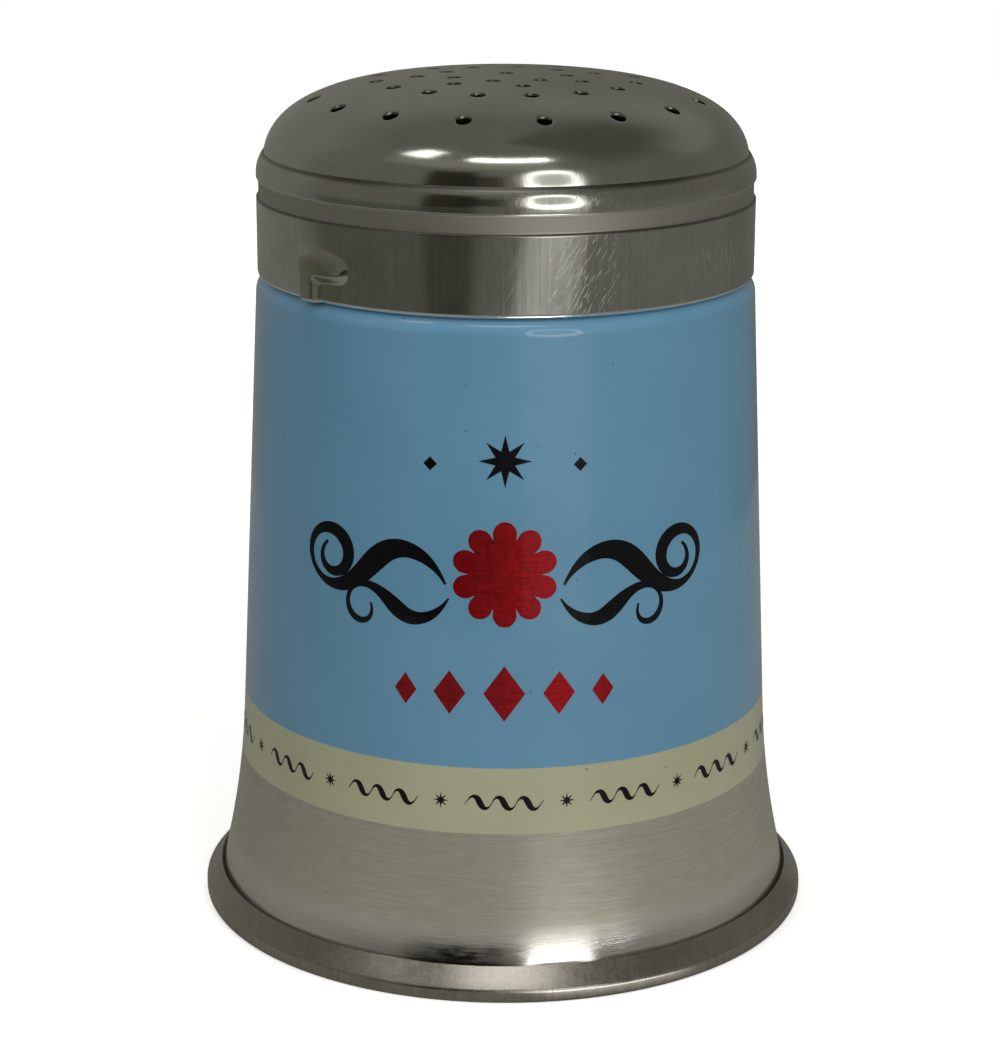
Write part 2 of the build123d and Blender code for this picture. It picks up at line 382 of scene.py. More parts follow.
printLook = {
    "blue": (0.130, 0.300, 0.452, 1),
    "blueDeep": (0.120, 0.285, 0.432, 1),
    "cream": (0.432, 0.438, 0.298, 1),
    "creamDeep": (0.404, 0.41, 0.274, 1),
    "bare": (0.36, 0.347, 0.284, 1),
    "bareDeep": (0.29, 0.28, 0.226, 1),
    "polish": grey(0.65, 0.03),
    # colour of the painted shade at the flare's foot and of the painted dark reflection
    "paintedDark": grey(0.03, 0.1),
    "creamFrom": 21.4,
    "blueFrom": 30.3,
    "printTo": 89.2,
    "edgeSoft": 0.05,
    "edgeWander": 0.12,
    "inkRoughness": 0.34,
    "bareRoughness": 0.27,
    "bareMetallic": 0.17,
    "polishedFrom": 4.6,
    "polishedTo": 10.5,
    "polishedRoughness": 0.12,
    # painted shade at the flare's foot: how high it reaches and its soft edge
    "cornerShadeTo": 4.45,
    "cornerShadeSoft": 0.2,
    # painted dark reflection low on the flare: its turn and height ranges with soft edges
    "darkReflectionTurn": (-0.25, 0.0, 0.07),
    "darkReflectionRise": (3, 6.6, 0.7),
    "bareRelief": 0.02,
    "polishedRelief": 0.005,
    "peelRelief": 0.0022,
    "specular": 0.25,
    "coatRoughness": 0.04,
    "coatIor": 1.45,
}


def printedTin():
    # Pale blue over a cream band over bare tin, told apart by height, the print under varnish.
    # The flare is polished at its foot, with a painted dark reflection at the front and painted
    # shade in the corner.
    look = printLook
    material, root, point, (x, y, z) = newMaterial("printedTin")
    height = z + (point.noise(0.12, 1) - 0.5) * look["edgeWander"]
    soft = look["edgeSoft"]
    printed = height.between(look["creamFrom"], look["printTo"], soft)
    isBlue = height.rises(look["blueFrom"] - soft, look["blueFrom"] + soft)
    cloud = point.noise(0.07, 3).rises(0.35, 0.68)
    brushed, fine, patches = [point.field(n) for n in ("brushed", "brushedFine", "patches")]
    blue = root.blend(cloud, look["blue"], look["blueDeep"])
    cream = root.blend(cloud, look["cream"], look["creamDeep"])
    tone = (brushed * 0.6 + patches * 0.4).rises(0.3, 0.7)
    bare = root.blend(tone, look["bareDeep"], look["bare"])
    speck = point.noise(1.3, 1, 0.4).rises(0.795, 0.81)
    polished = 1 - (z + (brushed - 0.5) * 3).rises(look["polishedFrom"], look["polishedTo"])
    azimuth = root.maths("ARCTAN2", x, 0 - y)
    # Painted dark reflection: a dark patch low on the flare, at the front and a little to the
    # left.
    darkReflection = (z + (brushed - 0.5) * 1.5).between(*look["darkReflectionRise"])
    darkReflection = azimuth.between(*look["darkReflectionTurn"]) * darkReflection
    side = root.maths("ABSOLUTE", azimuth).rises(0.7, 1.4)
    # Painted shade: darker along the flare's foot above the rolled rim, taller and stronger at the
    # sides.
    low, high = look["cornerShadeTo"] - look["cornerShadeSoft"], look["cornerShadeTo"] + look["cornerShadeSoft"]
    paintedDark = 1 - (z - side * 0.6 + (patches - 0.5) * 0.3).rises(low, high)
    colour = root.blend(printed, bare, root.blend(isBlue, cream, blue))
    for amount, paint in (
        (speck * 0.55, grey(0.05, 0.1)),
        (polished, look["polish"]),
        (darkReflection * (patches.rises(0.4, 0.6) * 0.5 + 0.42), look["paintedDark"]),
        (paintedDark * (0.4 + side * 0.5), look["paintedDark"]),
    ):
        colour = root.blend(amount, colour, paint)
    smoother = look["polishedRoughness"] - look["bareRoughness"]
    roughness = look["bareRoughness"] + smoother * polished
    roughness = (roughness + (brushed - 0.5) * (0.2 - polished * 0.12)) * (1 - printed)
    roughness = roughness + printed * (look["inkRoughness"] + (patches - 0.5) * 0.06)
    flatter = look["bareRelief"] - look["polishedRelief"]
    depth = (1 - printed) * (look["bareRelief"] - polished * flatter)
    peel = point.noise(1.1, 2) * printed * look["peelRelief"]
    relief = (brushed * 0.65 + fine * 0.35) * depth + peel
    surfaced(root, {
        "Base Color": colour,
        "Metallic": (1 - printed) * (look["bareMetallic"] + (1 - look["bareMetallic"]) * polished),
        "Roughness": roughness,
        "Specular IOR Level": look["specular"],
        "Coat Weight": printed,
        "Coat Roughness": look["coatRoughness"],
        "Coat IOR": look["coatIor"],
        "Normal": bumped(root, relief, 1.0),
    })
    return material


def bareTin(name, level, roughness, metallic=1.0, warmth=0.03):
    # Unprinted sheet seen inside: dull, mottled, with faint marks round the axis.
    material, root, point, _ = newMaterial(name)
    mottle = point.noise(0.35, 3, 0.6).rises(0.3, 0.7)
    surfaced(root, {
        "Base Color": root.blend(mottle, grey(level * 0.86, warmth), grey(level, warmth)),
        "Metallic": metallic,
        "Roughness": roughness + (mottle - 0.5) * 0.06,
        "Specular IOR Level": 0.3,
        "Normal": bumped(root, point.field("insideMarks"), 0.005),
    })
    return material


footLook = {
    "deep": grey(0.385, 0.06),
    "light": grey(0.49, 0.05),
    "roughness": 0.27,
    "relief": 0.005,
}


def footTin():
    # Rolled rim: satin, scuffed upright where it was pressed, darker in its marks.
    look = footLook
    material, root, point, _ = newMaterial("footTin")
    marks, scuff = point.field("footMarks"), point.field("footScuff")
    cloud = point.noise(0.08, 2)
    tone = (scuff * 0.45 + cloud * 0.4 + marks * 0.15).rises(0.34, 0.66)
    surfaced(root, {
        "Base Color": root.blend(tone, look["deep"], look["light"]),
        "Metallic": 1.0,
        "Roughness": look["roughness"] + (scuff - 0.5) * 0.15,
        "Normal": bumped(root, scuff * 0.7 + marks * 0.3, look["relief"]),
    })
    return material


ringLook = {
    "deep": (0.50, 0.505, 0.475, 1),
    "light": (0.60, 0.605, 0.57, 1),
    "stain": grey(0.52, 0.07),
    "groove": (0.505, 0.495, 0.445, 1),
    "lip": grey(0.9, 0.02),
    "scuff": grey(0.8, 0.03),
    # darker olive laid over the pressed channels as painted shade
    "channel": (0.36, 0.37, 0.25, 1),
    # colour of the painted shade in the corners
    "creaseShade": grey(0.05, 0.1),
    "roughness": 0.135,
    "grooveRoughness": 0.55,
    "relief": 0.006,
    "waves": 4,
    "wavePhase": 0.76,
    "waveSlope": 0.045,
    "scratchTurn": -0.017,
}


def ringSteel(lip, grooveFrom, grooveTo, crease):
    # Lid ring: drawn upright and scratched aslant on its skirt, dull in the groove, bright above
    # it, with painted shade in its corners and over its pressed channels. The drawn skirt is
    # slightly wavy round the axis.
    look = ringLook
    material, root, point, (x, y, z) = newMaterial("ringSteel")
    azimuth = root.maths("ARCTAN2", x, 0 - y)
    inGroove = z.between(grooveFrom + 0.25, grooveTo - 0.25, 0.2)
    above = z.rises(grooveTo - 0.2, grooveTo + 0.2)
    aside = root.maths("ABSOLUTE", azimuth).rises(0.5, 1.3)
    # Painted shade: dark strips at the groove's lower corner and under the crease, narrower and
    # fainter at the sides; it also roughens them.
    creaseShade = z.between(grooveFrom - 0.08, grooveFrom + 0.26, 0.08) * 0.65
    creaseShade = creaseShade + z.rises(crease - 0.9 + aside * 0.45, crease - 0.2) * (0.85 - aside * 0.4)
    onward = azimuth - math.radians(channel["azimuth"]) + 0.2 + 4 * math.pi
    onward = root.maths("MODULO", onward, math.pi)
    # Where the pressed channels are, for their painted shade and a rougher finish
    inChannel = onward.between(0.15, 0.36, 0.03) * z.between(lip + 0.4, lip + 5.8, 0.6)
    drawn = point.field("drawn")
    wave = root.maths("SINE", azimuth * look["waves"] - look["wavePhase"])
    wave = wave * root.maths("MINIMUM", z - grooveFrom, 0) * look["waveSlope"]
    rubbed = azimuth.between(-0.05, 0.5, 0.2) * 0.8 + 0.2
    scratch = point.wound(look["scratchTurn"]).field("scratch").rises(0.59, 0.7) * rubbed
    scuff = point.field("ringScuff").rises(0.52, 0.62)
    scuff = scuff * azimuth.between(0.8, 1.3, 0.12) * z.between(lip + 3.2, lip + 7.6, 1.0)
    tone = (drawn * 0.5 + point.field("ringCloud") * 0.5).rises(0.32, 0.68)
    colour = root.blend(tone, look["deep"], look["light"])
    for amount, paint in (
        (point.field("stain").rises(0.5, 0.75) * 0.5, "stain"),
        (inGroove, "groove"),
        (1 - z.rises(lip + 0.25, lip + 0.6), "lip"),
        (scuff * 0.6, "scuff"),
        (inChannel * 0.6, "channel"),
        (creaseShade, "creaseShade"),
    ):
        colour = root.blend(amount, colour, look[paint])
    rough = look["roughness"] + (drawn - 0.5) * 0.05 + scratch * 0.1 + creaseShade * 0.3
    rough = (rough + inChannel * 0.08) * (1 - inGroove) + look["grooveRoughness"] * inGroove
    relief = (drawn * 0.6 - scratch * 0.8 + scuff * 0.5) * (1 - above * 0.6)
    surfaced(root, {
        "Base Color": colour,
        "Metallic": 1.0,
        "Roughness": rough,
        "Normal": bumped(root, relief, look["relief"], bumped(root, wave, 1.0)),
    })
    return material


domeLook = {
    "deep": (0.53, 0.535, 0.495, 1),
    "light": (0.62, 0.625, 0.585, 1),
    "crownDepths": (5.0, 1.2),
    "rubTurn": (0.0, 0.0, 0.7),
    "roughness": 0.13,
    "crownDulling": 0.16,
    "relief": 0.008,
}


def domeSteel(crownZ):
    # Dome: polished on the haunch, dulled by handling on the crown, with fine crossing scratches.
    look = domeLook
    material, root, point, (x, y, z) = newMaterial("domeSteel")
    crown = z.rises(*[crownZ - depth for depth in look["crownDepths"]])
    grain = point.noise(5.5, 3, 0.6)
    cloud = point.noise(0.09, 3, 0.55)
    turned = root.node("Mapping", {}, {"Vector": point, "Rotation": look["rubTurn"]})
    rub = turned.field("rub")
    tone = (cloud * 0.6 + rub * 0.4).rises(0.32, 0.68)
    relief = grain * 0.4 + rub * 0.4 + point.field("spun") * 0.2
    surfaced(root, {
        "Base Color": root.blend(tone, look["deep"], look["light"]),
        "Metallic": 1.0,
        "Roughness": look["roughness"] + crown * look["crownDulling"] + (rub - 0.5) * 0.12,
        "Normal": bumped(root, relief, look["relief"]),
    })
    return material


def inkMaterial(name, deep, light, metallic, roughness):
    # Ink under the same varnish as the wall, its density a little uneven.
    material, root, point, _ = newMaterial(name)
    density = (point.noise(1.6, 3, 0.6) * 0.5 + point.field("inkLines") * 0.5).rises(0.3, 0.7)
    surfaced(root, {
        "Base Color": root.blend(density, deep, light),
        "Metallic": metallic,
        "Roughness": roughness + (density - 0.5) * 0.1,
        "Specular IOR Level": 0.1,
        "Coat Weight": 0.5,
        "Coat Roughness": printLook["coatRoughness"],
        "Coat IOR": printLook["coatIor"],
        "Normal": bumped(root, point.noise(1.1, 2), printLook["peelRelief"]),
    })
    return material


print("materials ready")

# The foot: a ring rolled round the wall's flared edge, and the bottom disc inside it

foot = {
    "sheet": 0.35,
    "seamGap": 0.08,
    "ringHeight": 4.3,
    "ringSlope": 2.15,
    "hemHeight": 1.7,
    "bend": 0.9,
    "innerBend": 0.45,
    "flatDepth": 0.05,
    "recess": 2.6,
    "recessBend": 0.7,
    "panelR": 31.0,
    "panelRise": 0.6,
    "panelBend": 1.2,
    "pointGap": 1.2,
    "turnStep": 1.0,
}
ringR = nodeSpan("base_pan")[1][0]
wallSheet = 0.35
rollR = (2 * foot["sheet"] + wallSheet + 2 * foot["seamGap"]) / 2
rollZ = rollR - foot["flatDepth"]
ringTop = np.array([ringR - foot["ringSlope"], foot["ringHeight"]])
hemTop = np.array([ringR, foot["hemHeight"]])
downRing = (hemTop - ringTop) / np.linalg.norm(hemTop - ringTop)
seamwards = np.array([downRing[1], -downRing[0]])


def hemCorner(depth):
    # Corner of a layer at a depth inside both faces of the ring: on the slope's parallel,
    # stepped back to where that meets the upright's parallel.
    below = hemTop + seamwards * depth
    return below - downRing * (below[0] - ringR + depth) / downRing[0]


def panProfile():
    # Down the ring's two faces, half round the roll, up its inside and across the stepped disc.
    face = cornered([ringTop, hemTop, (ringR, rollZ)], [foot["bend"]], 12)
    roll = turning((ringR, rollZ), (0, -1), rollR, -180, 26)
    corner = hemCorner(2 * rollR)
    panelTop = foot["recess"] + foot["panelRise"]
    turns = [
        roll[-1],
        corner,
        corner + downRing * (foot["recess"] - corner[1]) / downRing[1],
        (foot["panelR"] + foot["panelRise"], foot["recess"]),
        (foot["panelR"], panelTop),
        (0, panelTop),
    ]
    bends = [foot["innerBend"], foot["recessBend"], foot["panelBend"], foot["panelBend"]]
    return joined(face, roll, cornered(turns, bends, 8))


def makePan():
    # The profile and its copy one sheet to the right, kept above the table and short of the
    # axis, carried round the axis.
    outer = refined(panProfile(), foot["pointGap"])
    inner = beside(outer, -foot["sheet"])
    outer[:, 1] = np.maximum(outer[:, 1], 0)
    inner[:, 0] = np.maximum(inner[:, 0], 0)
    metals = [footTin(), bareTin("panInside", 0.55, 0.34)]
    return spunSheet("footPan", outer, inner, fineAngles(foot["turnStep"]), metals)


# The wall: flared foot, taper, shoulder, neck with two pips, rolled mouth, seam at the back

wall = {
    "waistZ": 27.0,
    "waistR": 36.64,
    "shoulderR": 33.85,
    "shoulderRound": 2.5,
    "neckRoot": 0.6,
    "neckInset": 1.4,
    "neckHeight": 10.9,
    "mouthRoll": 0.7,
    "seamWidth": 4.0,
    "seamRise": 0.2,
    "seamEase": 0.45,
    "seamMargin": 0.6,
    "pipR": 1.3,
    "pipRise": 1.35,
    # degrees: even step, then half width and step at a pip and at the seam
    "turnStep": 1.5,
    "pipZone": (3.2, 0.25),
    "seamZone": (4.2, 0.3),
}
mouthZ = nodeSpan("body_wall")[1][2]
shoulderZ = mouthZ - wall["neckHeight"]


def wallProfile():
    # Outer surface from the flange inside the hem up to the mouth, rolled inwards by half a turn.
    depth = foot["sheet"] + foot["seamGap"]
    tip = (ringR - depth, rollZ + foot["seamGap"])
    edge = ringTop + seamwards * depth
    flange = cornered([tip, hemCorner(depth), edge], [foot["bend"] - foot["sheet"]], 8)
    waist = (wall["waistR"], wall["waistZ"])
    shoulder = (wall["shoulderR"], shoulderZ)
    slope = (wall["waistR"] - wall["shoulderR"]) / (shoulderZ - wall["waistZ"])
    inset = wall["neckInset"] / (wall["shoulderRound"] + wall["neckRoot"])
    turn = math.degrees(math.acos(1 - inset))
    flare = leaving(waist, (slope, -1), edge, 40)[::-1]
    rounded = turning(shoulder, (0, 1), wall["shoulderRound"], turn, 14)
    root = turning(rounded[-1], rounded[-1] - rounded[-2], wall["neckRoot"], -turn, 8)
    neckR = wall["shoulderR"] - wall["neckInset"]
    neck = straight(root[-1], (neckR, mouthZ - wall["mouthRoll"]), 36)
    roll = turning(neck[-1], (0, 1), wall["mouthRoll"], 180, 18)
    return joined(flange, flare, straight(waist, shoulder, 16), rounded, root, neck, roll)


# The lid's ring: skirt with two pressed channels, groove, band and the curl over the dome's rim

ring = {
    "sheet": 0.35,
    "lipRoll": 0.6,
    "lipFlat": 0.15,
    "skirtInset": 0.25,
    "skirtHeight": 10.4,
    "grooveHeight": 2.8,
    "grooveDepth": 0.3,
    "grooveStep": 0.28,
    "grooveFlank": 0.5,
    "bandRound": 2.8,
    "domeInset": 1.0,
    "seamGap": 0.08,
    "turnStep": 2.0,
}
channel = {
    "count": 2,
    "azimuth": -48.25,
    "emboss": 0.9,
    "length": 8.6,
    "leg": 3.4,
    "shelf": 3.1,
    "flat": 5.2,
    "drop": 1.7,
    "noseHeight": 0.9,
    "noseRise": 0.9,
    "noseRun": 1.1,
    "below": -1.6,
    "round": 0.26,
    "flankFrom": -0.4,
    "flankTo": 0.7,
    "legSteepness": (1, 1, 0.6, 0.8),
    "runSteepness": (1, 1, 0.8, 0.42, 0.55, 0.8),
    "pipHeight": 4.8,
    # degrees: from the entry to the zone's middle, its half width and its step
    "zone": (4.4, 9.0, 0.2),
}
lipZ = nodeSpan("lid_ring")[0][2]
creaseZ = nodeSpan("lid_ring")[1][2]
skirtR = wall["shoulderR"] - ring["skirtInset"]
grooveZ = lipZ + ring["skirtHeight"]
bandZ = grooveZ + ring["grooveHeight"]
domeR = skirtR - ring["domeInset"]
channelAngles = [channel["azimuth"] + 360 / channel["count"] * i for i in range(channel["count"])]


def wallLift(angle, height, isOuter):
    # Pips: half balls on the neck at each channel's entry, rise * sqrt(1 - (distance / radius)²)
    # high. Seam: a low strip at the back of the outer surface, with eased edges.
    neckR = wall["shoulderR"] - wall["neckInset"]
    lift = np.zeros(angle.shape)
    for azimuth in channelAngles:
        across = (angle - math.radians(azimuth) + math.pi) % (2 * math.pi) - math.pi
        square = (across * neckR) ** 2 + (height - lipZ - channel["pipHeight"]) ** 2
        lift += wall["pipRise"] * np.sqrt(np.clip(1 - square / wall["pipR"] ** 2, 0, 1))
    fromBack = (math.pi - abs(angle)) * wall["waistR"]
    ease = wall["seamEase"]
    strip = 1 - eased((fromBack - wall["seamWidth"] / 2) / ease + 1)
    foots = eased((height - foot["ringHeight"] - wall["seamMargin"]) / ease)
    tops = 1 - eased((height - shoulderZ) / ease + 1)
    return lift + wall["seamRise"] * strip * foots * tops * isOuter


def makeWall(outer):
    # The profile and its copy one sheet to the left, carried round the axis and raised by the
    # lift, with closer columns at the pips and the seam.
    inner = beside(outer, wallSheet)
    zones = [(azimuth, *wall["pipZone"]) for azimuth in channelAngles] + [(180, *wall["seamZone"])]
    angles = fineAngles(wall["turnStep"], zones)
    metals = [printedTin(), bareTin("wallInside", 0.6, 0.36, 0.4)]
    return spunSheet("canWall", outer, inner, angles, metals, wallLift)


def insideOf(corners, steepness, across, above, soft):
    # Distance inside a convex outline: the soft minimum of the distances to its straight
    # edges, each times the steepness of its flank.
    corners = np.array(corners, float)
    total = 0
    for start, end, steep in zip(corners, np.roll(corners, -1, axis=0), steepness):
        run = (end - start) / np.linalg.norm(end - start)
        distance = steep * (run[0] * (above - start[1]) - run[1] * (across - start[0]))
        total = total + np.exp(-np.clip(distance, -8, 8) / soft)
    return -soft * np.log(total)


def channelLift(angle, height, isOuter):
    # Pressed channel: an upright entry leg and a run to its right with a sloping nose. The
    # larger of their two inside distances, eased over the flank, times the emboss.
    left = -channel["length"] / 2
    right = channel["length"] / 2
    shelf = channel["shelf"]
    noseTop = shelf + channel["noseRise"] + channel["noseHeight"]
    top = noseTop + channel["drop"]
    legEnd = left + channel["leg"]
    leg = [(left, channel["below"]), (legEnd, channel["below"]), (legEnd, top), (left, top)]
    run = [
        (left, shelf),
        (right - channel["noseRun"], shelf),
        (right, shelf + channel["noseRise"]),
        (right, noseTop),
        (left + channel["flat"], top),
        (left, top),
    ]
    above = height - lipZ
    lift = 0
    for azimuth in channelAngles:
        middle = math.radians(azimuth) + (channel["length"] - channel["leg"]) / 2 / skirtR
        across = ((angle - middle + math.pi) % (2 * math.pi) - math.pi) * skirtR
        soft = channel["round"]
        inLeg = insideOf(leg, channel["legSteepness"], across, above, soft)
        inRun = insideOf(run, channel["runSteepness"], across, above, soft)
        inside = soft * np.logaddexp(inLeg / soft, inRun / soft)
        share = (inside - channel["flankFrom"]) / (channel["flankTo"] - channel["flankFrom"])
        lift = lift + channel["emboss"] * eased(share) * (abs(across) < channel["length"])
    return lift


def ringProfile():
    # Round the lip, up the side, whose radius dips in the groove by eased steps, and inwards.
    lipR = skirtR - ring["lipRoll"]
    curl = turning((lipR, lipZ), (1, 0), ring["lipRoll"], 90, 12)
    step, flank = ring["grooveStep"], ring["grooveFlank"]
    height = np.unique(np.concatenate([
        np.linspace(lipZ + ring["lipRoll"], grooveZ, 62),
        np.linspace(grooveZ, grooveZ + step, 9),
        np.linspace(grooveZ + step, bandZ - flank, 8),
        np.linspace(bandZ - flank, bandZ, 9),
        np.linspace(bandZ, creaseZ - ring["bandRound"], 3),
    ]))
    dip = eased((height - grooveZ) / step) - eased((height - bandZ + flank) / flank)
    side = np.stack([skirtR - ring["grooveDepth"] * dip, height], 1)
    over = leaving(side[-1], (0, 1), (domeR + ring["seamGap"], creaseZ), 18)
    return joined(np.array([[lipR - ring["lipFlat"], lipZ]]), curl, side, over)


def makeRing():
    # The profile and its copy one sheet to the left, carried round the axis and raised by the
    # lift, with closer columns at the channels.
    outer = ringProfile()
    inner = beside(outer, ring["sheet"])
    onward, *fineness = channel["zone"]
    zones = [(azimuth + onward, *fineness) for azimuth in channelAngles]
    angles = fineAngles(ring["turnStep"], zones)
    metals = [ringSteel(lipZ, grooveZ, bandZ, creaseZ), bareTin("ringInside", 0.5, 0.36)]
    return spunSheet("lidRing", outer, inner, angles, metals, channelLift)


# The lid's dome, with its real holes

dome = {
    "sheet": 0.35,
    "tuck": 1.0,
    "insets": [20.6, 12.6, 6.6, 2.6, 0.6],
    "drops": [0.25, 1.22, 3.0, 5.5, 8.3],
    "rimGap": 0.15,
    "rimBend": 0.3,
    "capInset": 4.2,
    "holeR": 1.025,
    "holeInsets": [6.8, 15.1, 20.6, 24.4],
    "holeCounts": [16, 16, 8, 8],
    "holePhases": [10.5, 10.5, 10.5, 33.0],
    "edgeRound": 0.22,
    "edgeDip": 0.09,
    # mesh: columns round the haunch, points round a hole and their distances from its edge,
    # spacing of the crown's other points, how far from a hole they start and how far inside the
    # crown's edge they end, and how far outside it the haunch's first points are
    "columns": 360,
    "holePoints": 36,
    "holeRings": [0, 0.05, 0.11, 0.22, 0.45, 0.85],
    "spacing": 1.0,
    "clear": 2.25,
    "edgeClear": 0.4,
    "haunchClear": 0.15,
}
crownZ = nodeSpan("lid_dome")[1][2]


def domeProfile():
    # Level at the crown, upright at its foot, then bent outwards into the rim that the ring holds.
    footZ = creaseZ - dome["tuck"]
    shape = [(domeR - inset, crownZ - drop) for inset, drop in zip(dome["insets"], dome["drops"])]
    curve = smoothCurve([(0, crownZ), *shape, (domeR, footZ)], (1, 0), (0, -1), 40)
    rimZ = bandZ + ring["seamGap"] + dome["sheet"]
    rimR = skirtR - ring["sheet"] - dome["rimGap"]
    rim = cornered([(domeR, footZ), (domeR, rimZ), (rimR, rimZ)], [dome["rimBend"]], 6)
    return joined(curve, rim)


def holeCentres():
    # Rings of evenly turned places, and one in the middle.
    places = [np.zeros((1, 2))]
    for inset, count, phase in zip(dome["holeInsets"], dome["holeCounts"], dome["holePhases"]):
        angle = np.radians(phase + 360 / count * np.arange(count))
        places.append((domeR - inset) * spokes(angle))
    return np.concatenate(places)


def capPoints(capR, columns):
    # Plan of the crown: rings of points round each hole, and staggered rings round the axis that
    # keep clear of the holes. The last ring is the crown's edge.
    centres = holeCentres()
    around = np.linspace(0, 2 * math.pi, dome["holePoints"], endpoint=False)
    reach = (dome["holeR"] + np.array(dome["holeRings"]))[None, :, None, None]
    rings = centres[:, None, None, :] + reach * spokes(around)
    field = []
    spacing = dome["spacing"]
    for number, radius in enumerate(np.arange(spacing, capR - dome["edgeClear"], spacing)):
        count = max(8, int(2 * math.pi * radius / spacing))
        angle = 2 * math.pi * (np.arange(count) + 0.5 * (number % 2)) / count
        field.append(radius * spokes(angle))
    field = np.concatenate(field)
    nearest = np.linalg.norm(field[:, None] - centres[None], axis=-1).min(1)
    edgeAngle = 2 * math.pi * np.arange(columns) / columns
    return rings, field[nearest > dome["clear"]], capR * spokes(edgeAngle), edgeAngle


def makeDome():
    # The crown is a triangulated plan raised to the dome's curve, outside and inside, with walls
    # down its holes. The haunch and rim are the profile carried round from the crown's edge.
    outer = domeProfile()
    inner = beside(outer, -dome["sheet"])
    capR = domeR - dome["capInset"]
    columns = dome["columns"]
    rings, field, edge, edgeAngle = capPoints(capR, columns)
    holes, steps, around = rings.shape[:3]
    plan = np.concatenate([rings.reshape(-1, 2), field, edge])
    result = delaunay_2d_cdt(plan.tolist(), [], [], 0, meshing["mergeWithin"])
    source = np.array([ids[0] for ids in result[3]])
    triangles = source[np.array(result[2])]
    ofHole = triangles < holes * steps * around
    holeOf = np.where(ofHole, triangles // (steps * around), -1)
    onRim = ofHole & (triangles % (steps * around) < around)
    filled = onRim.all(1) & (holeOf[:, 0] == holeOf[:, 1]) & (holeOf[:, 0] == holeOf[:, 2])
    triangles = triangles[~filled]
    radius = np.linalg.norm(plan, axis=1)
    nearest = np.linalg.norm(plan[:, None] - holeCentres()[None], axis=-1).min(1)
    dip = np.clip(1 - (nearest - dome["holeR"]) / dome["edgeRound"], 0, 1) ** 2 * dome["edgeDip"]
    curve = outer[: np.argmax(outer[:, 0] >= domeR - hair)]
    under = inner[: len(curve)]
    capTop = np.column_stack([plan, np.interp(radius, curve[:, 0], curve[:, 1]) - dip])
    capLow = np.column_stack([plan, np.interp(radius, under[:, 0], under[:, 1])])
    size = len(plan)
    rimFirst = np.arange(holes)[:, None] * steps * around + np.arange(around)[None]
    rimNext = np.roll(rimFirst, -1, axis=1)
    holeWalls = np.stack([rimFirst, rimNext, rimNext + size, rimFirst + size], -1).reshape(-1, 4)
    haunchR = capR + dome["haunchClear"]
    outside = outer[outer[:, 0] > haunchR]
    inside = inner[(inner[:, 0] > haunchR) | (np.arange(len(inner)) >= len(curve))]
    loop = np.concatenate([outside, inside[::-1]])
    angle, loopR = np.meshgrid(edgeAngle, loop[:, 0], indexing="ij")
    haunch = roundAxis(loopR, np.broadcast_to(loop[:, 1], angle.shape), angle)
    haunchIndex = 2 * size + np.arange(columns * len(loop)).reshape(columns, len(loop))
    edgeTop = size - columns + np.arange(columns)
    rows = np.column_stack([edgeTop, haunchIndex, edgeTop + size])
    sides = quads(np.concatenate([rows, rows[:1]]))
    points = np.concatenate([capTop, capLow, haunch.reshape(-1, 3)])
    faces = triangles.tolist() + (triangles[:, ::-1] + size).tolist()
    faces += holeWalls.tolist() + sides.tolist()
    isInner = np.concatenate([
        np.zeros(len(triangles)),
        np.ones(len(triangles) + len(holeWalls)),
        np.tile(np.arange(len(loop) + 1) > len(outside), columns),
    ]).astype(np.int32)
    metals = [domeSteel(crownZ), bareTin("domeInside", 0.42, 0.4)]
    return finishedMesh("lidDome", points, faces, metals, isInner)


# Print on the wall, as ink that stands a hair proud of it

ink = {
    "proud": 0.02,
    "sunk": 0.06,
    "bandR": wall["waistR"] + 0.1,
    "starCount": 14,
    "starPoints": 8,
    "starZ": 25.7,
    "starTip": 1.05,
    "starValley": 0.36,
    "waveReach": 5.1,
    "waveDrop": 0.4,
    "waveLength": 15.2,
    "waveWidth": 0.75,
    "middleZ": 56.5,
}


def polarPatch(radiusOf, middle, around=96, rings=7):
    # Flat shape given by its radius at each angle, filled by shares of that radius.
    angle = np.linspace(0, 2 * math.pi, around, endpoint=False)
    share = np.linspace(0, 1, rings)
    reach = share[:, None] * radiusOf(angle)[None]
    patch = [middle[0] + reach * np.sin(angle), middle[1] + reach * np.cos(angle)]
    return np.stack(patch, -1), True


def star(points, tip, valley):
    # Straight-edged star: between a tip and a valley the edge is a line in polar form.
    def radiusOf(angle):
        half = math.pi / points
        local = abs((angle + half) % (2 * half) - half)
        across = valley * np.sin(half - local) + tip * np.sin(local)
        return tip * valley * math.sin(half) / across
    return radiusOf


def rosette(petals, size, depth):
    # Round petals: the radius is the size less a share of 1 minus the root of |cos|.
    def radiusOf(angle):
        return size * (1 - depth * (1 - abs(np.cos(angle * petals / 2)) ** 0.5))
    return radiusOf


def lozenge(wide, tall):
    # Diamond with straight sides: 1 / (|sin| / wide + |cos| / tall).
    def radiusOf(angle):
        return 1 / (abs(np.sin(angle)) / wide + abs(np.cos(angle)) / tall)
    return radiusOf


def stroke(start, length, headings, widths, flip=1, steps=160, across=6):
    # Pen stroke: headings at even shares of its length are joined by a smooth curve, summed into
    # a path, and the nib's half width, from widths in the same way, is laid off on both sides.
    t = np.linspace(0, 1, steps + 1)
    heading = np.radians(smoothed(t, headings))
    half = np.maximum(smoothed(t, widths), 0.02) / 2
    run = np.stack([np.cos(heading) * flip, np.sin(heading)], 1)
    middle = (run[:-1] + run[1:]) / 2 * length / steps
    path = np.array(start) + np.concatenate([np.zeros((1, 2)), np.cumsum(middle, axis=0)])
    side = np.stack([-run[:, 1], run[:, 0]], 1) * half[:, None]
    share = np.linspace(-1, 1, across + 1)[None, :, None]
    return path[:, None] + side[:, None] * share, False


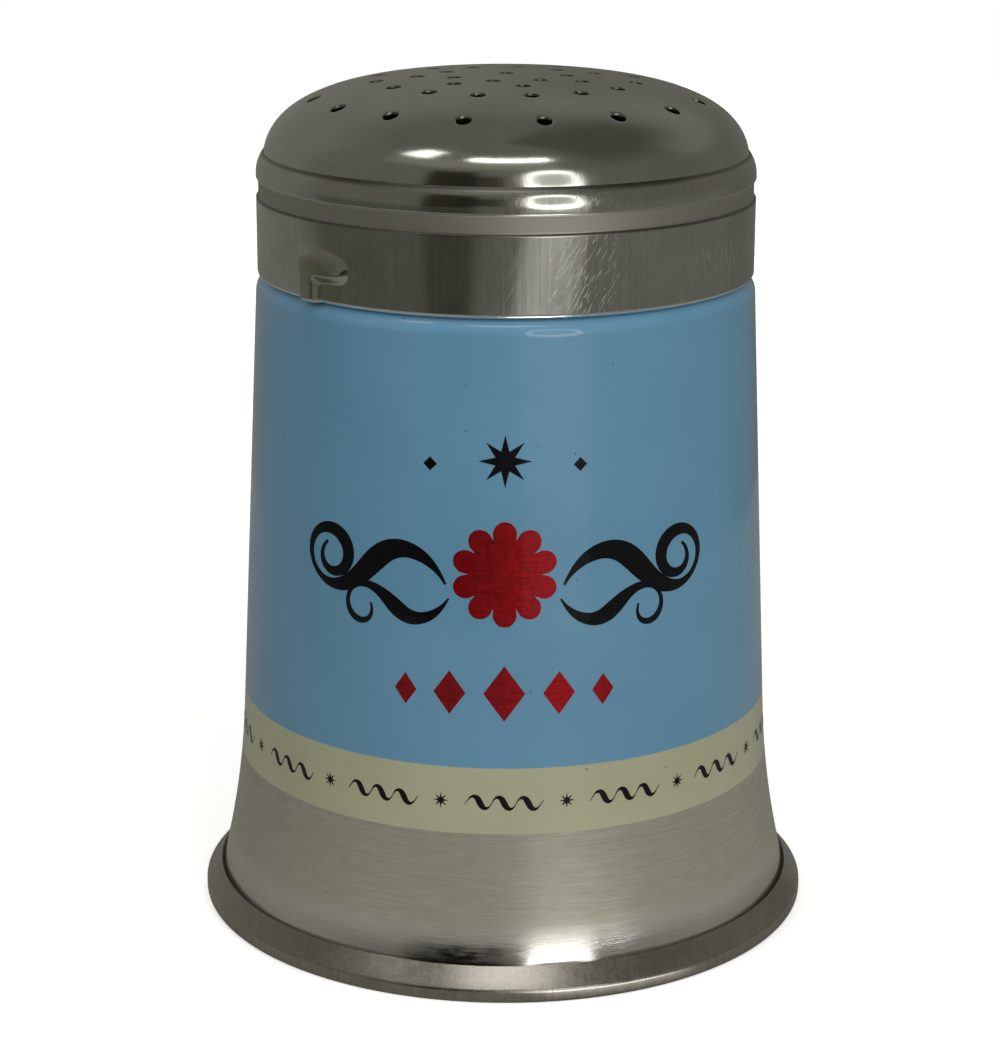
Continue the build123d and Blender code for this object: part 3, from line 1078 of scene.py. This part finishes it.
def smoothed(t, values):
    # Smooth curve through values at even shares: its slope at each is half the difference of
    # that value's neighbours.
    place = t * (len(values) - 1)
    low = np.minimum(place.astype(int), len(values) - 2)
    values = np.array(values, float)
    before = values[np.maximum(low - 1, 0)]
    after = values[np.minimum(low + 2, len(values) - 1)]
    start, end = values[low], values[low + 1]
    return cubic(place - low, start, end, (end - before) / 2, (after - start) / 2)


def inkPiece(name, patches, outer, material):
    # Each flat patch is wrapped on the wall (angle = across / radius there), once proud of it and
    # once sunk in it, and the two are closed along the patch's edge.
    rising = outer[(outer[:, 1] > foot["ringHeight"]) & (outer[:, 1] < shoulderZ)]
    allPoints, allFaces, first = [], [], 0
    for patch, wraps in patches:
        rows, columns = patch.shape[:2]
        wallR = np.interp(patch[..., 1], rising[:, 1], rising[:, 0])
        angle = patch[..., 0] / wallR
        lifts = (ink["proud"], -ink["sunk"])
        layers = [roundAxis(wallR + lift, patch[..., 1], angle) for lift in lifts]
        count = rows * columns
        top = gridFaces(rows, columns, False, wraps, first)
        index = first + np.arange(count).reshape(rows, columns)
        if wraps:
            border = index[-1]
        else:
            sides = index[0], index[1:, -1], index[-1, -2::-1], index[-2:0:-1, 0]
            border = np.concatenate(sides)
        onwards = np.roll(border, -1)
        rim = np.stack([border, onwards, onwards + count, border + count], -1)
        allPoints += [layer.reshape(-1, 3) for layer in layers]
        allFaces += [top, top[:, ::-1] + count, rim]
        first += 2 * count
    points = np.concatenate(allPoints)
    faces = np.concatenate(allFaces).tolist()
    return finishedMesh(name, points, faces, [material])


def bandPatches():
    # Stars evenly round the cream band, with a pen wave between each two but for the seam's.
    patches = []
    pitch = 2 * math.pi * ink["bandR"] / ink["starCount"]
    shape = star(ink["starPoints"], ink["starTip"], ink["starValley"])
    thick = ink["waveWidth"]
    headings = [55, 45, *[-52, -52, 50, 50] * 2, -52, -52, 45, 55]
    widths = [0.08, 0.2, *[thick, thick, 0.16, 0.2] * 2, thick, thick, 0.2, 0.08]
    for i in range(ink["starCount"]):
        middle = pitch * (i + 0.5 - ink["starCount"] // 2)
        patches.append(polarPatch(shape, (middle, ink["starZ"]), 64, 4))
        if i == ink["starCount"] - 1:
            continue
        start = (middle + pitch / 2 - ink["waveReach"], ink["starZ"] - ink["waveDrop"])
        patches.append(stroke(start, ink["waveLength"], headings, widths, steps=96, across=3))
    return patches


def centrePatches():
    # Mirrored pen scrolls beside a rosette, with stars above and below.
    z = ink["middleZ"]
    black, red = [], []
    for flip in (1, -1):
        black.append(stroke((flip * 7.6, z - 2.0), 46, [62, 20, -42, -30, 40, 130, 230, 350, 500],
                            [0.3, 1.9, 3.0, 2.2, 0.8, 1.1, 1.9, 1.3, 0.4], flip))
        black.append(stroke((flip * 7.2, z - 3.8), 25, [-58, -20, 38, 20, -60, -160, -290],
                            [0.25, 1.4, 2.2, 1.2, 0.6, 0.9, 0.3], flip))
        black.append(polarPatch(lozenge(0.9, 0.9), (flip * 9.6, z + 13.6), 32, 4))
        red.append(polarPatch(lozenge(2.1, 2.9), (flip * 7.1, z - 16.2), 48, 5))
        red.append(polarPatch(lozenge(1.5, 2.1), (flip * 13.0, z - 16.2), 48, 5))
    black.append(polarPatch(star(ink["starPoints"], 3.4, 1.35), (0, z + 14.2), 96, 6))
    red.append(polarPatch(rosette(10, 6.9, 0.32), (0, z - 0.5), 160, 8))
    red.append(polarPatch(lozenge(2.7, 3.7), (0, z - 16.2), 48, 6))
    return black, red


# Building

wallPath = wallProfile()
pan = makePan()
canWall = makeWall(wallPath)
lidRing = makeRing()
lidDome = makeDome()
blackPatches, redPatches = centrePatches()
blackInk = inkMaterial("blackInk", (0.001, 0.001, 0.002, 1), (0.003, 0.003, 0.004, 1), 0.0, 0.3)
redInk = inkMaterial("redInk", (0.22, 0.003, 0.007, 1), (0.44, 0.008, 0.013, 1), 0.7, 0.36)
printBlack = inkPiece("printBlack", bandPatches() + blackPatches, wallPath, blackInk)
printRed = inkPiece("printRed", redPatches, wallPath, redInk)

for piece, body, node, slot in (
    (pan, "can", "base_pan", "foot_tinplate"),
    (canWall, "can", "body_wall", "printed_tinplate"),
    (lidRing, "lid", "lid_ring", "lid_steel"),
    (lidDome, "lid", "lid_dome", "dome_steel"),
):
    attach(piece, body)
    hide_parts(node)
for piece in (printBlack, printRed):
    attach(piece, "can")
print("pieces placed")

# Studio: a pale floor, soft lights, and surroundings that the metal mirrors

studio = {
    "floorHalf": 0.95,
    "cardR": 0.25,
    "base": (0.150, 0.146, 0.128),
    "lower": (0.141, 0.143, 0.123),
    # azimuth from, to, elevation from, to, soft edge, all in degrees, and strength
    "panels": [
        (8, 37, -30, -6, 1.0, 0.26),
        (-24, 28, 54.5, 60.5, 1.0, 4.0),
        (-71, -52, 53, 65, 1.5, 2.5),
        (-70, 28, 40, 54.5, 4.0, 0.1),
        (-38, -14, -2, 34, 1.5, -0.12),
        (-38, -14, -30, -2, 1.5, -0.045),
        (-20, -1, 3, 26, 2.5, -0.10),
        (50, 165, 44, 100, 15.0, -0.06),
        (-95, -12, -30, -3, 6.0, -0.045),
        (105, 200, 24, 46, 8.0, 0.06),
        (-200, -105, -30, 46, 12.0, 0.05),
        (42, 120, -30, 0, 6.0, 0.025),
    ],
    # the window's rim and core: middle and half axes of their ovals, soft edge and strengths
    "rim": ((22, 15), (13, 21)),
    "core": ((22, 19), (10, 12.5)),
    "windowSoft": 0.05,
    "rimLight": 3.1,
    "coreLight": 0.5,
    "tint": (1.0, 0.985, 0.93),
    # azimuth from, to, distance from, to, soft edges and strength
    "glow": (8, 38, 50, 85, 4.0, 8.0, 4.5),
    "least": (0.02, 0.02, 0.018),
    "floor": (0.86, 0.86, 0.85),
    "floorGlow": 0.46,
    "card": (0.27, 0.265, 0.24),
    # name, place, power and width
    "lights": [
        ("topLight", (0.15, -0.25, 1.1), 3.5, 1.0),
        ("rightLight", (0.75, -0.8, 0.5), 5.2, 0.9),
        ("leftLight", (-0.9, -0.6, 0.5), 3.9, 0.9),
        ("backLight", (-0.2, 1.1, 0.6), 7.5, 1.2),
    ],
    "lit": (0, 0, 0.055),
}


def insideOval(azimuth, elevation, middle, half, soft):
    # 1 inside a rounded oval: there the cubes of both shares of its half axes sum to less than 1.
    across = azimuth.maths("ABSOLUTE", (azimuth - middle[0]) / half[0])
    above = azimuth.maths("ABSOLUTE", (elevation - middle[1]) / half[1])
    return 1 - (across * across * across + above * above * above).rises(1 - 3 * soft, 1 + 3 * soft)


def makeWorld():
    # White to the camera. To all else, surroundings told by azimuth and elevation: an even tone,
    # an oval window and panels that add or take light between their eased edges.
    world = bpy.data.worlds.new("studio")
    bpy.context.scene.world = world
    world.use_nodes = True
    world.node_tree.nodes.clear()
    root = Wire(world.node_tree)
    way = root.node("TexCoord", {}, {}, "Generated")
    x, y, z = [root.node("SeparateXYZ", {}, {0: way}, axis) for axis in "XYZ"]
    azimuth = root.maths("ARCTAN2", x, 0 - y) * (180 / math.pi)
    elevation = root.maths("ARCSINE", z) * (180 / math.pi)
    rim = insideOval(azimuth, elevation, *studio["rim"], studio["windowSoft"])
    core = insideOval(azimuth, elevation, *studio["core"], studio["windowSoft"])
    light = rim * studio["rimLight"] - core * (studio["rimLight"] - studio["coreLight"])
    for left, right, low, high, soft, strength in studio["panels"]:
        inside = azimuth.between(left, right, soft) * elevation.between(low, high, soft)
        light = inside * strength + light
    tone = root.blend(elevation.rises(-8, 4), (*studio["lower"], 1), (*studio["base"], 1))
    tint = root.blend(1.0, (*studio["tint"], 1), light, "MULTIPLY")
    colour = root.blend(1.0, tone, tint, "ADD")
    values = {0: colour, 1: studio["least"]}
    colour = root.node("VectorMath", {"operation": "MAXIMUM"}, values)
    seen = root.node("LightPath", {}, {}, "Is Camera Ray")
    colour = root.blend(seen, colour, (1, 1, 1, 1))
    background = root.node("Background", {}, {"Color": colour, "Strength": 1.0})
    root.node("OutputWorld", {}, {"Surface": background})


def flatSheet(name, corners, colour, glow, sector=None):
    # Flat staged sheet, matt and a little mottled, that also gives off light: evenly, or in a
    # sector round the axis with eased edges.
    mesh = bpy.data.meshes.new(name)
    mesh.from_pydata([tuple(corner) for corner in corners], [], [tuple(range(len(corners)))])
    material, root, point, (x, y, z) = newMaterial(name)
    mottle = point.noise(0.02, 3).rises(0.3, 0.7)
    darker = tuple(0.97 * part for part in colour) + (1,)
    emitted = (1, 1, 1, 1)
    if sector:
        left, right, near, far, softTurn, softWay = sector
        azimuth = root.maths("ARCTAN2", x, 0 - y) * (180 / math.pi)
        distance = root.maths("SQRT", x * x + y * y)
        inside = azimuth.between(left, right, softTurn) * distance.between(near, far, softWay)
        emitted = root.blend(inside, (0, 0, 0, 1), (1, 1, 1, 1))
    surfaced(root, {
        "Base Color": root.blend(mottle, darker, (*colour, 1)),
        "Roughness": 0.9,
        "Emission Color": emitted,
        "Emission Strength": glow,
    })
    mesh.materials.append(material)
    piece = placed(name, mesh)
    return piece


def onlyMirrored(piece):
    # Leaves a sheet to mirroring surfaces alone.
    piece.visible_camera = piece.visible_diffuse = piece.visible_shadow = False
    piece.visible_transmission = False


def makeFloor():
    # A pale floor for the camera. What the metal mirrors is a round grey card a hair above it,
    # with the window's glow in a sector of another sheet above that.
    half = studio["floorHalf"]
    corners = [(-half, -half, 0), (half, -half, 0), (half, half, 0), (-half, half, 0)]
    floor = flatSheet("floor", corners, studio["floor"], studio["floorGlow"])
    floor.visible_glossy = floor.visible_diffuse = False
    turn = np.linspace(0, 2 * math.pi, 96, endpoint=False)
    edge = roundAxis(studio["cardR"], 0.1 * mm, turn)
    onlyMirrored(flatSheet("mirroredCard", edge, studio["card"], 0.0))
    *sector, strength = studio["glow"]
    left, right, near, far, softTurn, softWay = sector
    turn = np.radians(np.linspace(left - softTurn, right + softTurn, 12))
    nearEdge = roundAxis((near - softWay) * mm, 0.2 * mm, turn)
    farEdge = roundAxis((far + softWay) * mm, 0.2 * mm, turn[::-1])
    edge = np.concatenate([nearEdge, farEdge])
    onlyMirrored(flatSheet("mirroredGlow", edge, studio["card"], strength, sector))


def softLight(name, place, power, size):
    # Area light that faces the shaker's middle and isn't mirrored by the metal.
    data = bpy.data.lights.new(name, "AREA")
    data.energy = power
    data.shape = "SQUARE"
    data.size = size
    light = placed(name, data)
    away = np.array(place) - np.array(studio["lit"])
    away /= np.linalg.norm(away)
    right = np.cross((0, 0, 1), away)
    right /= np.linalg.norm(right)
    up = np.cross(away, right)
    turn = Matrix(np.stack([right, up, away], 1).tolist()).to_4x4()
    light.matrix_world = Matrix.Translation(place) @ turn
    light.visible_glossy = False


makeWorld()
makeFloor()
for settings in studio["lights"]:
    softLight(*settings)
print("studio ready")

# Camera: where the photograph was taken from, for a picture of 1000 by 1040

view = {
    "focalPixels": 2738.6,
    "pictureHeight": 1040,
    "sensor": 36.0,
    "place": (-0.637, -367.3, 157.6),
    "pitch": 15.86,
    "roll": 0.233,
    "clip": (0.01, 50),
}
cameraData = bpy.data.cameras.new("camera")
cameraData.sensor_width = view["sensor"]
cameraData.lens = view["focalPixels"] / view["pictureHeight"] * view["sensor"]
cameraData.clip_start, cameraData.clip_end = view["clip"]
camera = placed("camera", cameraData)
tilt = Matrix.Rotation(math.radians(90 - view["pitch"]), 4, "X")
camera.matrix_world = (
    Matrix.Translation([part * mm for part in view["place"]])
    @ tilt
    @ Matrix.Rotation(math.radians(view["roll"]), 4, "Z")
)
bpy.context.scene.camera = camera
bpy.context.scene.view_settings.view_transform = "Standard"
print("camera set")
